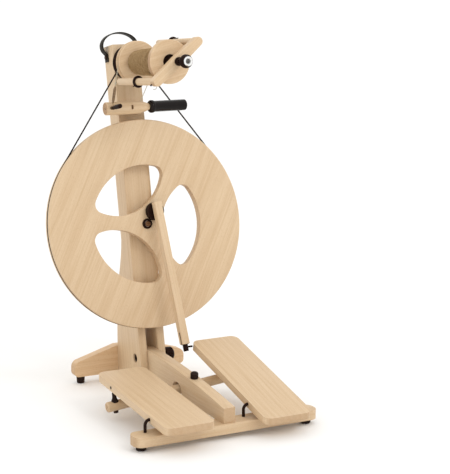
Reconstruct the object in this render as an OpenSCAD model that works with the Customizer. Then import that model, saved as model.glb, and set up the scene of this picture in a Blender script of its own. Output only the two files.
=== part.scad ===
// Folding spinning wheel with one leaning mast, two treadles and a flyer on top.
// X runs to the right, Y to the back, Z up. The floor is Z = 0 and all sizes are in mm.
// The stand leans on its rear crossbar, and the base folds up to it on one bolt.

/* [Stand] */
// Lean of the mast from upright, degrees
mast_lean = 11; // [10.5:0.5:11.5]
// Width of the mast
mast_w = 48; // [46:1:52]
// Depth of the mast, front to back
mast_d = 38; // [36:1:42]
// Length of the mast above the fold bolt
mast_len = 541; // [538:1:550]
// Height of the fold bolt above the floor
bolt_z = 57.5; // [57:0.5:59]
// Diameter of the fold bolt
bolt_d = 8; // [7:0.5:9]
// Half length of the rear crossbar
rear_half = 106; // [95:1:118]
// Height of the rear crossbar at its middle
rear_h = 49; // [44:1:52]
// Height of the rear crossbar at its tips
tip_h = 29; // [27:1:34]

/* [Base] */
// Half length of the front bar
bar_half = 161; // [152:1:168]
// Depth of the front bar, front to back
bar_d = 35; // [32:1:40]
// Thickness of the front bar
bar_t = 16; // [14:1:18]
// Height of the front feet
foot_h = 9; // [8:0.5:10]
// Thickness of the spine board
spine_t = 20; // [18:1:22]

/* [Treadles] */
// Width of each treadle
treadle_w = 85.5; // [80:0.5:88]
// Length of each treadle
treadle_len = 271; // [266:1:274]
// Thickness of each treadle
treadle_t = 12; // [11:0.5:13]
// Part of the treadle in front of its hinge
treadle_front = 61; // [58:1:64]
// Tilt of the left treadle as drawn, degrees
tilt_left = 4; // [3.5:0.5:4.5]
// Tilt of the right treadle as drawn, degrees
tilt_right = 13.5; // [13:0.5:14]
// Diameter of the rocker bar
rocker_d = 17; // [16:0.5:18]

/* [Drive wheel] */
// Radius of the drive wheel
wheel_r = 178.5; // [172:0.5:179]
// Thickness of the drive wheel
wheel_t = 15; // [14:0.5:16]
// Height of the hub along the mast, from the fold bolt
hub_up = 230.5; // [229:0.5:232]
// Outer radius of the three cut-outs
cut_r = 101; // [98:1:103]
// Corner radius of the cut-outs
cut_corner = 15; // [12:1:17]
// Throw of the crank
throw = 24; // [22:1:25]
// Side of the square footman
footman_w = 13; // [12.5:0.5:14]

/* [Flyer and bobbin] */
// Height of the whorl along the mast, from the fold bolt
whorl_up = 507; // [505:1:509]
// Diameter of the whorl's large step
whorl_d = 59; // [56:1:60]
// Diameter of the whorl's small groove, where the band runs
groove_d = 28; // [26:1:30]
// Slope of the flyer below the square of the mast, degrees
head_tilt = 6.5; // [6:0.1:7]
// Diameter of the bobbin's back flange
flange_back_d = 73; // [70:1:74]
// Diameter of the bobbin's front flange
flange_front_d = 72; // [70:1:75]
// Turn of the flyer's crossbar from level, degrees
flyer_turn = 39.5; // [35:0.5:50]
// Distance of the flyer's arms from its axis
arm_r = 48.5; // [48:0.5:50]
// Number of turns in the outer layer of yarn
yarn_turns = 22; // [18:1:22]

/* [Hidden] */
$fn = 64;

// Colours of the pieces
beech = [0.86, 0.73, 0.57];
black = [0.10, 0.08, 0.08];
steel = [0.70, 0.70, 0.72];
brass = [0.62, 0.45, 0.25];
yarn = [0.58, 0.49, 0.38];
cotton = [0.82, 0.78, 0.64];

// Fits: a seated piece, a running shaft and free room, each on the radius or one side
seat = 0.05;
run = 0.06;
room = 0.4;

// Mast, front and back faces measured square to its length from the bolt's axis
mast_front = 23;
mast_back = mast_d - mast_front;
leg_z = 19;
leg_back = 76;
leg_top = 130;
sweep_up = 205;
sweep_steps = 10;
fork_w = spine_t + 1;
fork_top = 95;
head_recess_d = 16;
head_recess = 7;

// Rear crossbar
rear_z = 13;
rear_t = 18;
rear_front = leg_back;
rear_flat = 26;
tip_r_top = 13;
tip_r_low = 8;
rear_foot_x = rear_half - 14;
rear_foot_d = 15;

// Base
bar_y = -292.5;
bar_top = foot_h + bar_t;
bar_corner = 14;
front_foot_d = 18;
front_foot_x = bar_half - 15;
spine_front = -306;
spine_front_h = 25;
spine_end_r = 17;
spine_flat = -40;
spine_steps = 8;
bumper_y = -182;
bumper_d = 13;
bumper_h = 11;

// Treadles and their wire hooks
treadle_in = 43;
treadle_out = treadle_in + treadle_w;
treadle_corner = 13;
hinge_y = -286;
hinge_z = bar_top + 19.5;
hook_d = 5;
hook_bend = 8;
hook_reach = 8;
hook_off = 7.5;
pin_along = 150;
pin_d = 5;

// Rocker
rocker_y = -137;
rocker_z = 36.5;
rocker_half = 137;
rocker_tilt = 5.78;
arch_r = 17.5;
arch_z = 31.5;
rocker_pin_d = 6;
rocker_pin_half = 26;
cup_x = 122;
cup_rise = 20.6;
cup_tip = 3.5;

// Drive wheel
mast_gap = 10;
wheel_y = -mast_front - mast_gap - wheel_t / 2;
rim_chamfer = 1.2;
band_d = 3;
band_sunk = 1;
band_clear = 0.45;
band_r = wheel_r - band_sunk;
axle_d = 10;
hub_d = 17;
hub_lip = 2.5;
cut_r2 = 86.5;
cut_off = 113.5;
cut_angles = [114, 234, 354];
crank_angle = 57;
crank_d = 31;
boss_gap = 2;
footman_out = 29;
footman_above = 16;
footman_pin = 203;
footman_gap = 6.5;
footman_x = treadle_in - footman_w / 2 - footman_gap;

// Head of the mast
barrel_y = -53;
barrel_clear = 20.5;
barrel_up = hub_up + wheel_r + barrel_clear;
barrel_d = 22;
barrel_left = -61;
barrel_full = 1;
barrel_nose = 20;
slot_x = -15;
slot_d = 4;
handle_flange_d = 22;
handle_d = 19;
handle_end = 90;
peg_x = -53;
peg_d = 5.5;
peg_grip = 7.5;
peg_len = 38;
block_w = 40;
block_h = 20;
strap_w = 14;
strap_t = 2;
strap_y = 4;
strap_reach = 33;
strap_rise = 24;
strap_low = 27;
strap_steps = 18;

// Flyer, along its own axis: zero in the whorl's groove and forward positive
shaft_d = 10;
bush_d = 18;
bush_back = -36;
bush_flange_d = 26;
shaft_back = bush_back + room;
whorl_back = -12;
whorl_step = -4.6;
whorl_front = 6;
whorl_r = groove_d / 2;
step_lip = 3;
back_a = 18;
back_b = 31.5;
tube_d = 24;
tube_a = whorl_front + room;
bar_a = 172;
cross_t = 15;
bar_b = bar_a + cross_t;
tube_b = bar_a - room;
front_t = 10;
front_b = bar_a - 16;
front_a = front_b - front_t;
arm_a = 34;
arm_d = 12;
tenon_d = 8;
tenon_l = 11;
cross_mid = 18;
cross_end = 15;
neck_d = 11;
bell_d = 22;
bell_a = bar_b + 21;
bell_b = bell_a + 8;
rim_b = bell_b + 6;
orifice_d = 8.4;
eye_d = 6;
ring_d = 15.5;
slider_left_s = 110;
slider_right_s = 92;
slider_d = 4.2;
brake_s = (back_a + back_b) / 2;
brake_r = flange_back_d / 2 - 3;

// Yarn: a plain core and one outer layer laid round it
yarn_d = 4.4;
core_r_back = 16;
core_r_front = 21.8;
core_clear = 0.4;
yarn_rings = 20;
yarn_sides = 6;
cord_sides = 8;
cord_d = 1.6;
brake_floor = brake_r - cord_d / 2 - 0.45;

// Places worked out from the values above
function on_mast_yz(y, z) = [y * cos(mast_lean) + z * sin(mast_lean),
    bolt_z - y * sin(mast_lean) + z * cos(mast_lean)];
function front_up(z) = (z - bolt_z - mast_front * sin(mast_lean)) / cos(mast_lean);
function ease(t) = t * t * (3 - 2 * t);
function mix(a, b, t) = a + (b - a) * t;
function arc(c, r, a0, a1, n) = [for (i = [0:n]) c + r * [cos(mix(a0, a1, i / n)), sin(mix(a0, a1, i / n))]];
strap_top = mast_len + strap_rise;
back_reach = max(on_mast_yz(mast_back, mast_len)[0], on_mast_yz(strap_y + strap_w / 2, strap_top)[0]);
tilt_flat = min(tilt_left, tilt_right);
front_reach = -hinge_y + treadle_front * cos(tilt_flat) + treadle_t / 2 * sin(tilt_flat);
bolt_y = (front_reach - back_reach) / 2;

// Top edge of the spine: it rises from the front end and runs level to the bolt
spine_end_top = bolt_z + spine_end_r;
spine_run = spine_flat - spine_front;
spine_drop = 0.0305;
spine_bow = (spine_end_top - bar_top - spine_front_h - spine_drop * spine_run) / (spine_run * spine_run);
function spine_top(y) = spine_end_top + spine_drop * (y - spine_flat) - spine_bow * pow(y - spine_flat, 2);
bumper_slope = atan(spine_drop - 2 * spine_bow * (bumper_y - spine_flat));

// Footman, from the treadle's pin to the crank
crank_x = throw * cos(crank_angle);
crank_up = hub_up + throw * sin(crank_angle);
crank_yz = on_mast_yz(wheel_y - footman_out, crank_up);
pin_y = hinge_y + footman_pin * cos(tilt_right);
pin_z = hinge_z + footman_pin * sin(tilt_right);
foot_dx = crank_x - footman_x;
foot_dy = crank_yz[0] - pin_y;
foot_dz = crank_yz[1] - pin_z;
foot_len = sqrt(foot_dx * foot_dx + foot_dy * foot_dy + foot_dz * foot_dz);
foot_back = atan2(foot_dy, foot_dz);
foot_side = asin(foot_dx / foot_len);
foot_lean = foot_back - mast_lean;
boss_front = footman_out - footman_w / 2 / cos(foot_lean) - (footman_above + 6) * tan(foot_lean) - room;

// Frames
module at_bolt() {
    translate([0, bolt_y, 0]) children();
}

module on_mast() {
    translate([0, bolt_y, bolt_z]) rotate([-mast_lean, 0, 0]) children();
}

// On the wheel and the flyer X is right, Y is up and Z points to the front
module on_wheel() {
    on_mast() translate([0, wheel_y, hub_up]) rotate([90, 0, 0]) children();
}

module on_flyer() {
    on_mast() translate([0, wheel_y, whorl_up]) rotate([90 + head_tilt, 0, 0]) children();
}

module on_hinge(tilt) {
    translate([0, bolt_y + hinge_y, hinge_z]) rotate([tilt, 0, 0]) children();
}

module on_rocker() {
    translate([0, bolt_y + rocker_y, rocker_z]) rotate([0, -rocker_tilt, 0]) children();
}

// At the treadle's pin, with Z along the footman
module on_footman() {
    translate([footman_x, bolt_y + pin_y, pin_z])
        rotate([-foot_back, 0, 0]) rotate([0, foot_side, 0]) children();
}

// Shared shapes
module along_x(x0, x1, d) {
    translate([x0, 0, 0]) rotate([0, 90, 0]) cylinder(d = d, h = x1 - x0);
}

module along_y(y0, y1, d) {
    translate([0, y1, 0]) rotate([90, 0, 0]) cylinder(d = d, h = y1 - y0);
}

module across(w) {
    rotate([90, 0, 90]) linear_extrude(w, center = true) children();
}

module rounded(w, l, r) {
    square([w - 2 * r, l], center = true);
    square([w, l - 2 * r], center = true);
    for (sx = [-1, 1], sy = [-1, 1]) translate([sx * (w / 2 - r), sy * (l / 2 - r)]) circle(r);
}

module foot(d, h) {
    rotate_extrude() polygon([[0, 0], [d / 2 - 2, 0], [d / 2 - 0.8, 1.2], [d / 2, h], [0, h]]);
}

module screw_head(d, h) {
    difference() {
        rotate_extrude() polygon([[0, 0], [d / 2, 0], [d / 2, h * 0.5], [d / 2 - h * 0.5, h], [0, h]]);
        translate([0, 0, h]) cube([d, d * 0.16, h], center = true);
    }
}

// A tube through a list of points, with the plane normal that its rings are laid out on
function tangent(p, i, shut) = let (n = len(p), a = shut ? p[(i + n - 1) % n] : p[max(i - 1, 0)],
    b = shut ? p[(i + 1) % n] : p[min(i + 1, n - 1)]) (b - a) / norm(b - a);
function unit(v) = v / norm(v);
function tube_ring(c, t, up, r, n) = let (u = unit(cross(t, up)), v = cross(u, t))
    [for (k = [0:n - 1]) c + r * (cos(360 * k / n) * u + sin(360 * k / n) * v)];
function tube_points(p, ups, r, n, shut) = [for (i = [0:len(p) - 1])
    each tube_ring(p[i], tangent(p, i, shut), ups[i], r, n)];
function tube_quads(rings, n, shut) = [for (i = [0:(shut ? rings - 1 : rings - 2)], k = [0:n - 1],
    s = [0, 1]) let (a = i * n + k, b = i * n + (k + 1) % n, j = (i + 1) % rings,
    c = j * n + k, d = j * n + (k + 1) % n) s == 0 ? [a, b, d] : [a, d, c]];
function tube_caps(rings, n) = [for (k = [1:n - 2], s = [0, 1]) s == 0 ? [0, k + 1, k]
    : [(rings - 1) * n, (rings - 1) * n + k, (rings - 1) * n + k + 1]];

module tube(p, ups, d, n, shut) {
    faces = shut ? tube_quads(len(p), n, true) : concat(tube_quads(len(p), n, false), tube_caps(len(p), n));
    polyhedron(points = tube_points(p, ups, d / 2, n, shut), faces = faces, convexity = 8);
}

// Stand
mast_outline = concat([on_mast_yz(-mast_front, front_up(leg_z)), on_mast_yz(-mast_front, mast_len),
    on_mast_yz(mast_back, mast_len)],
    [for (i = [0:sweep_steps]) let (a = on_mast_yz(mast_back, sweep_up), t = i / sweep_steps)
        [mix(a[0], leg_back, ease(t)), mix(a[1], leg_top, t)]],
    [[leg_back, leg_z]]);

module mast() {
    color(beech) difference() {
        at_bolt() across(mast_w) polygon(mast_outline);
        on_mast() {
            translate([-fork_w / 2, -120, -160]) cube([fork_w, 300, 160 + fork_top - fork_w / 2]);
            translate([0, 0, fork_top - fork_w / 2]) along_y(-120, 180, fork_w);
            along_x(-mast_w, mast_w, bolt_d + 2 * seat);
            along_x(-mast_w, head_recess - mast_w / 2, head_recess_d);
            translate([0, 0, hub_up]) along_y(-60, 20 - mast_front, axle_d + 2 * seat);
            for (s = [-1, 1]) translate([0, strap_y, mast_len - strap_low + 8])
                along_x(s > 0 ? mast_w / 2 - 12 : -mast_w, s > 0 ? mast_w : 12 - mast_w / 2, 3 + 2 * seat);
        }
        on_flyer() translate([0, 0, bush_back]) cylinder(d = bush_d + 2 * seat, h = 60);
        at_bolt() for (s = [-1, 1]) translate([s * screw_x, 0, rear_z + rear_h / 2])
            along_y(rear_front - 20, rear_front + 20, 4 + 2 * seat);
    }
}

screw_x = (mast_w + fork_w) / 4;
rear_side = concat([[rear_flat, rear_h]],
    arc([rear_half - tip_r_top, tip_h - tip_r_top], tip_r_top, 82, 0, 10),
    arc([rear_half - tip_r_low, tip_r_low], tip_r_low, 0, -90, 8));
rear_outline = concat(rear_side, [for (i = [len(rear_side) - 1:-1:0]) [-rear_side[i][0], rear_side[i][1]]]);

module rear_crossbar() {
    color(beech) at_bolt() difference() {
        translate([0, rear_front + rear_t, rear_z]) rotate([90, 0, 0])
            linear_extrude(rear_t - seat) polygon(rear_outline);
        for (s = [-1, 1]) translate([s * screw_x, 0, rear_z + rear_h / 2]) {
            along_y(0, 120, 4 + 2 * seat);
            along_y(rear_front + rear_t - 4, 120, 9);
        }
        for (s = [-1, 1]) translate([s * rear_foot_x, rear_front + rear_t / 2, 0])
            cylinder(d = 4 + 2 * seat, h = rear_z + 10);
    }
}

module crossbar_screws() {
    color(steel) at_bolt() for (s = [-1, 1]) translate([s * screw_x, 0, rear_z + rear_h / 2]) {
        along_y(rear_front - 19, rear_front + rear_t - 3.9, 4);
        translate([0, rear_front + rear_t - 3.95, 0]) rotate([-90, 0, 0]) screw_head(8.4, 2.8);
    }
}

module rear_foot(s) {
    color(black) at_bolt() translate([s * rear_foot_x, rear_front + rear_t / 2, 0]) {
        foot(rear_foot_d, rear_z);
        cylinder(d = 4, h = rear_z + 9);
    }
}

module rear_foot_left() { rear_foot(-1); }
module rear_foot_right() { rear_foot(1); }

knob_a = mast_w / 2 + 1.2;
knob_b = knob_a + 22;
module pivot_bolt() {
    color(black) on_mast() {
        along_x(head_recess - mast_w / 2 - 1, knob_b - 5, bolt_d);
        difference() {
            along_x(head_recess - mast_w / 2 - 5, head_recess - mast_w / 2, 13);
            rotate([0, 90, 0]) translate([0, 0, -mast_w])
                cylinder(d = 7, h = mast_w / 2 + head_recess - 2.2, $fn = 6);
        }
        along_x(mast_w / 2, mast_w / 2 + 0.9, 17);
    }
}

module clamp_knob() {
    color(black) on_mast() difference() {
        rotate([0, 90, 0]) rotate_extrude() polygon([[bolt_d / 2 + run, knob_a], [8, knob_a], [8, knob_a + 5],
            [12, knob_a + 7], [12, knob_b - 3], [9, knob_b], [0, knob_b], [0, knob_b - 4.9],
            [bolt_d / 2 + run, knob_b - 4.9]]);
        for (a = [0:45:315]) rotate([a, 0, 0]) translate([0, 0, 13.6]) along_x(knob_a + 4, knob_b + 1, 5);
    }
}

module wheel_axle() {
    color(steel) on_wheel() translate([0, 0, wheel_y + mast_front - 19])
        cylinder(d = axle_d, h = wheel_t / 2 + hub_lip - wheel_y - mast_front + 19);
}

module axle_spacer() {
    color(black) on_wheel() translate([0, 0, wheel_y + mast_front]) difference() {
        cylinder(d = 26, h = mast_gap - 4 - room);
        translate([0, 0, -1]) cylinder(d = axle_d + 2 * seat, h = mast_gap);
    }
}

module hub_screw() {
    color(brass) on_wheel() translate([0, 0, wheel_t / 2 + hub_lip]) screw_head(9.4, 3);
}

module flyer_bearing() {
    color(black) on_flyer() difference() {
        union() {
            translate([0, 0, bush_back]) cylinder(d = bush_d, h = whorl_back - room - bush_back);
            intersection() {
                translate([0, 0, -20]) cylinder(d = bush_flange_d, h = 20 + whorl_back - room);
                rotate([-head_tilt, 0, 0]) translate([-40, -40, wheel_y + mast_front + seat]) cube(80);
            }
        }
        translate([0, 0, bush_back - 1]) cylinder(d = shaft_d + 2 * run, h = 60);
    }
}

module barrel_block() {
    color(beech) on_mast() difference() {
        translate([-block_w / 2 - 8, barrel_y, barrel_up - block_h / 2])
            cube([block_w, -mast_front - barrel_y, block_h]);
        translate([0, barrel_y, barrel_up]) along_x(barrel_left - 5, barrel_nose + 5, barrel_d + 2 * seat);
    }
}

module head_barrel() {
    color(beech) on_mast() translate([0, barrel_y, barrel_up]) difference() {
        rotate([0, 90, 0]) rotate_extrude() polygon([[0, barrel_left], [barrel_d / 2 - 1, barrel_left],
            [barrel_d / 2, barrel_left + 1], [barrel_d / 2, barrel_full],
            [barrel_d / 2 - 1.5, barrel_full + 7], [handle_flange_d / 4, barrel_nose], [0, barrel_nose]]);
        along_x(barrel_left - 1, barrel_left + 9, 5);
        along_x(barrel_nose - 14, barrel_nose + 1, 8 + 2 * run);
        translate([peg_x, 0, 0]) along_y(-barrel_d, -1, peg_d + 2 * run);
        for (z = [-2, 2]) translate([slot_x, 0, z]) along_y(-barrel_d, -4, slot_d);
        translate([slot_x - slot_d / 2, -barrel_d, -2]) cube([slot_d, barrel_d - 4, 4]);
        translate([anchor_x, anchor_off, 0]) cylinder(d = cord_d + 2 * seat, h = barrel_d);
    }
}

module tension_handle() {
    color(black) on_mast() translate([0, barrel_y, barrel_up]) {
        along_x(barrel_nose - 13, barrel_nose + 1, 8);
        rotate([0, 90, 0]) rotate_extrude() polygon([[0, barrel_nose + room],
            [handle_flange_d / 2 - 2, barrel_nose + room], [handle_flange_d / 2, barrel_nose + 3],
            [handle_flange_d / 2, barrel_nose + 7], [handle_d / 2, barrel_nose + 10],
            [handle_d / 2, handle_end - 2], [handle_d / 2 - 2, handle_end], [0, handle_end]]);
    }
}

module brake_peg() {
    color(black) on_mast() translate([peg_x, barrel_y, barrel_up]) rotate([90, 0, 0]) rotate_extrude()
        polygon([[0, 2], [peg_d / 2, 2], [peg_d / 2, barrel_d / 2 + 14], [peg_grip / 2, barrel_d / 2 + 17],
            [peg_grip / 2, barrel_d / 2 + peg_len - 2], [peg_grip / 2 - 2, barrel_d / 2 + peg_len],
            [0, barrel_d / 2 + peg_len]]);
}

// Bobbin brake: a spring on the peg, then a cord over the groove of the back flange to the barrel
anchor_x = 4;
spring_turns = 16;
spring_d = 5.2;
wire_d = 0.9;
spring_rings = 8;
spring_low = [peg_x, barrel_y - barrel_d / 2 - 4.2, barrel_up + peg_d / 2 + 2.6];
function flyer_to_mast(p) = let (y = p[1], z = p[2], a = 90 + head_tilt)
    [p[0], wheel_y + y * cos(a) - z * sin(a), whorl_up + y * sin(a) + z * cos(a)];
function mast_to_flyer(p) = let (y = p[1] - wheel_y, z = p[2] - whorl_up, a = 90 + head_tilt)
    [p[0], y * cos(a) + z * sin(a), z * cos(a) - y * sin(a)];
function aim(p) = atan2(p[1], p[0]);
function grip(p) = acos(brake_r / norm([p[0], p[1]]));
anchor_tilt = 90 + head_tilt;
anchor_rise = barrel_up + barrel_d / 2 - whorl_up;
anchor_off = wheel_y + (anchor_rise * cos(anchor_tilt) - brake_s) / sin(anchor_tilt) - barrel_y;
anchor = [anchor_x, barrel_y + anchor_off, barrel_up + sqrt(pow(barrel_d / 2, 2) - pow(anchor_off, 2))];
low_on_flyer = mast_to_flyer(spring_low);
anchor_on_flyer = mast_to_flyer(anchor);
brake_from = 360 + aim(low_on_flyer) - grip(low_on_flyer);
brake_to = aim(anchor_on_flyer) + grip(anchor_on_flyer);
function brake_pt(a) = flyer_to_mast([brake_r * cos(a), brake_r * sin(a), brake_s]);
brake_left = brake_pt(brake_from);
brake_right = brake_pt(brake_to);
spring_dir = unit(brake_left - spring_low);
spring_len = 34;
spring_high = spring_low + spring_dir * spring_len;
spring_side = unit(cross(spring_dir, [0, 1, 0]));
spring_face = cross(spring_side, spring_dir);
spring_pitch = (spring_len - 4) / spring_turns;
spring_path = concat([spring_low, spring_low + spring_dir],
    [for (i = [0:spring_turns * spring_rings]) let (t = i / spring_rings, a = 360 * t,
        g = min(1, min(t, spring_turns - t) * 1.0), r = (spring_d - wire_d) / 2 * ease(g))
        spring_low + spring_dir * (2 + spring_pitch * t) + r * (cos(a) * spring_side + sin(a) * spring_face)],
    [spring_high - spring_dir, spring_high]);

module brake_spring() {
    color(brass) on_mast() tube(spring_path, [for (p = spring_path) spring_up(p)], wire_d, 6, false);
}

// A direction across the wire that never lies along it
function spring_up(p) = let (c = p - spring_low, h = (c * spring_dir) * spring_dir, o = c - h)
    norm(o) < 0.02 ? spring_side : unit(o);

brake_steps = 16;
brake_path = concat([spring_high + 0.2 * spring_dir],
    [for (i = [1:3]) mix(spring_high, brake_left, i / 4)],
    [for (i = [0:brake_steps]) brake_pt(mix(brake_from, brake_to, i / brake_steps))],
    [for (i = [1:5]) mix(brake_right, anchor, i / 6)],
    [anchor + [0, 0, 0.4], anchor - [0, 0, 4]]);

module brake_cord() {
    color(cotton) on_mast() tube(brake_path, [for (p = brake_path) [0, 1, 0]], cord_d, cord_sides, false);
}

// Drive band: two arcs and two straight runs, with the whorl's arc on its own sloping plane
band_slope = asin((band_r - whorl_r) / (whorl_up - hub_up));
wheel_arc = 50;
whorl_arc = 10;
band_run = 9;
function wheel_pt(a) = [band_r * cos(a), wheel_y, hub_up + band_r * sin(a)];
function whorl_pt(a) = flyer_to_mast([whorl_r * cos(a), whorl_r * sin(a), 0]);
band_path = concat(
    [for (i = [0:wheel_arc]) wheel_pt(mix(180 - band_slope, 360 + band_slope, i / wheel_arc))],
    [for (i = [1:band_run]) mix(wheel_pt(band_slope), whorl_pt(band_slope), i / (band_run + 1))],
    [for (i = [0:whorl_arc]) whorl_pt(mix(band_slope, 180 - band_slope, i / whorl_arc))],
    [for (i = [1:band_run]) mix(whorl_pt(180 - band_slope), wheel_pt(180 - band_slope), i / (band_run + 1))]);

module drive_band() {
    color(black) on_mast() tube(band_path, [for (p = band_path) [0, 1, 0]], band_d, cord_sides, true);
}

// Carrying strap: one strip from side to side over the mast's head
strap_x = mast_w / 2 + strap_t / 2 + seat;
strap_line = concat([[strap_x, mast_len - strap_low], [strap_x, mast_len - strap_low + 12]],
    [for (i = [0:strap_steps]) let (a = mix(-22, 202, i / strap_steps))
        [strap_reach * cos(a), mast_len + (strap_rise - strap_t / 2) * sin(a)]],
    [[-strap_x, mast_len - strap_low + 12], [-strap_x, mast_len - strap_low]]);
function line_side(p, i) = let (a = p[max(i - 1, 0)], b = p[min(i + 1, len(p) - 1)], t = unit(b - a)) [-t[1], t[0]];
strap_edge = [for (i = [0:len(strap_line) - 1]) strap_line[i] + strap_t / 2 * line_side(strap_line, i)];
strap_edge2 = [for (i = [len(strap_line) - 1:-1:0]) strap_line[i] - strap_t / 2 * line_side(strap_line, i)];

module strap() {
    color(black) on_mast() difference() {
        translate([0, strap_y + strap_w / 2, 0]) rotate([90, 0, 0])
            linear_extrude(strap_w) polygon(concat(strap_edge, strap_edge2));
        translate([0, strap_y, mast_len - strap_low + 8]) along_x(-mast_w, mast_w, 3 + 2 * seat);
    }
}

module strap_screws() {
    color(steel) on_mast() for (s = [-1, 1]) translate([0, strap_y, mast_len - strap_low + 8]) mirror([s > 0 ? 0 : 1, 0, 0]) {
        along_x(mast_w / 2 - 11, mast_w / 2 + strap_t + 1, 3);
        translate([mast_w / 2 + strap_t + 2 * seat, 0, 0]) rotate([0, 90, 0]) screw_head(8, 2.4);
    }
}

// Base
spine_outline = concat([[spine_front, bar_top]],
    [for (i = [0:spine_steps]) let (y = mix(spine_front, spine_flat, i / spine_steps)) [y, spine_top(y)]],
    arc([0, bolt_z], spine_end_r, 90, -90, 20), [[-30, bolt_z - spine_end_r], [-72, bar_top]]);

module spine() {
    color(beech) at_bolt() difference() {
        across(spine_t) polygon(spine_outline);
        translate([0, 0, bolt_z]) along_x(-mast_w, mast_w, bolt_d + 2 * run);
        translate([0, rocker_y, arch_z]) along_x(-mast_w, mast_w, 2 * arch_r);
        translate([0, rocker_y, rocker_z])
            along_y(-rocker_pin_half - seat, rocker_pin_half + seat, rocker_pin_d + 2 * seat);
        translate([-rocker_pin_d / 2 - seat, rocker_y - rocker_pin_half - seat, 0])
            cube([rocker_pin_d + 2 * seat, 2 * (rocker_pin_half + seat), rocker_z]);
        translate([0, bumper_y, spine_top(bumper_y) - 10]) cylinder(d = 4 + 2 * seat, h = 20);
        for (y = bar_screw_y) translate([0, bar_y + y, bar_top - 1]) cylinder(d = 4 + 2 * seat, h = 15);
        for (s = [-1, 1]) translate([0, rocker_y + s * keeper_off, bar_top - 1]) for (x = [-6.5, 6.5])
            translate([x, 0, 0]) cylinder(d = 2.5 + 2 * seat, h = 8);
    }
}

bar_screw_y = [-8, 8];
keeper_off = 22;
keeper_t = 2;
module front_bar() {
    color(beech) at_bolt() translate([0, bar_y, foot_h]) difference() {
        linear_extrude(bar_t) rounded(2 * bar_half, bar_d, bar_corner);
        for (y = bar_screw_y) translate([0, y, -1]) {
            cylinder(d = 4 + 2 * seat, h = bar_t + 2);
            cylinder(d = 9, h = 5);
        }
        for (x = hook_xs) translate([x, hinge_y - bar_y, 5]) cylinder(d = hook_d + 2 * seat, h = bar_t);
        for (s = [-1, 1]) translate([s * front_foot_x, 0, -1]) cylinder(d = 4 + 2 * seat, h = 11);
    }
}

module bar_screws() {
    color(steel) at_bolt() translate([0, bar_y, foot_h]) for (y = bar_screw_y) translate([0, y, 0]) {
        translate([0, 0, 3.9]) cylinder(d = 4, h = bar_t + 9);
        translate([0, 0, 3.95]) mirror([0, 0, 1]) screw_head(8.4, 2.8);
    }
}

module front_foot(s) {
    color(black) at_bolt() translate([s * front_foot_x, bar_y, 0]) {
        foot(front_foot_d, foot_h);
        cylinder(d = 4, h = foot_h + 9);
    }
}

module front_foot_left() { front_foot(-1); }
module front_foot_right() { front_foot(1); }

// Each hook stands in the bar and turns into the treadle's edge
hook_xs = [-treadle_out - hook_off, -treadle_in + hook_off, treadle_in - hook_off, treadle_out + hook_off];
hook_turn = [1, -1, 1, -1];
module treadle_hooks() {
    color(black) at_bolt() for (i = [0:3]) translate([hook_xs[i], hinge_y, 0]) mirror([hook_turn[i] > 0 ? 0 : 1, 0, 0]) {
        translate([0, 0, foot_h + 5.1]) cylinder(d = hook_d, h = hinge_z - hook_bend - foot_h - 5.1);
        translate([hook_bend, 0, hinge_z - hook_bend]) rotate([90, 0, 0]) rotate([0, 0, 90])
            rotate_extrude(angle = 90) translate([hook_bend, 0]) circle(d = hook_d);
        translate([0, 0, hinge_z]) along_x(hook_bend, hook_off + hook_reach, hook_d);
    }
}

module bumper() {
    color(black) at_bolt() translate([0, bumper_y, spine_top(bumper_y)]) {
        translate([0, 0, -9]) cylinder(d = 4, h = 12);
        rotate([bumper_slope, 0, 0]) rotate_extrude() polygon([[0, seat], [bumper_d / 2, seat],
            [bumper_d / 2, bumper_h - 2], [bumper_d / 2 - 2, bumper_h], [0, bumper_h]]);
    }
}

module rocker_pin() {
    color(steel) at_bolt() translate([0, rocker_y, rocker_z]) {
        along_y(-rocker_pin_half, rocker_pin_half, rocker_pin_d);
        for (s = [0, 1]) mirror([0, s, 0]) along_y(rocker_d / 2 + room, 14, 10);
    }
}

module pin_keepers() {
    color(steel) at_bolt() for (s = [-1, 1]) translate([0, rocker_y + s * keeper_off, bar_top]) {
        translate([-spine_t / 2 + 1, -4.5, -keeper_t]) cube([spine_t - 2, 9, keeper_t - seat]);
        translate([-rocker_pin_d / 2, -3.5, -1]) cube([rocker_pin_d, 7, rocker_z - bar_top - rocker_pin_d / 2 + 1 - seat]);
        for (x = [-6.5, 6.5]) translate([x, 0, -keeper_t]) {
            cylinder(d = 2.5, h = 8);
            mirror([0, 0, 1]) screw_head(5, 1.4);
        }
    }
}

// Treadles
module treadle_board() {
    difference() {
        translate([(treadle_in + treadle_out) / 2, treadle_len / 2 - treadle_front, 0])
            linear_extrude(treadle_t, center = true) rounded(treadle_w, treadle_len, treadle_corner);
        along_x(treadle_in - 1, treadle_in + hook_reach + 1, hook_d + 2 * run);
        along_x(treadle_out - hook_reach - 1, treadle_out + 1, hook_d + 2 * run);
        translate([0, pin_along, 0]) along_x(treadle_out - 12, treadle_out + 1, pin_d + 2 * seat);
    }
}

module treadle_left() {
    color(beech) on_hinge(tilt_left) mirror([1, 0, 0]) treadle_board();
}

module treadle_right() {
    color(beech) on_hinge(tilt_right) treadle_board();
}

module treadle_pin() {
    translate([0, pin_along, 0]) along_x(treadle_out - 11.9, treadle_out + 0.4, pin_d);
}

module treadle_pin_left() {
    color(black) on_hinge(tilt_left) mirror([1, 0, 0]) treadle_pin();
}

module treadle_pin_right() {
    color(black) on_hinge(tilt_right) treadle_pin();
}

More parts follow.
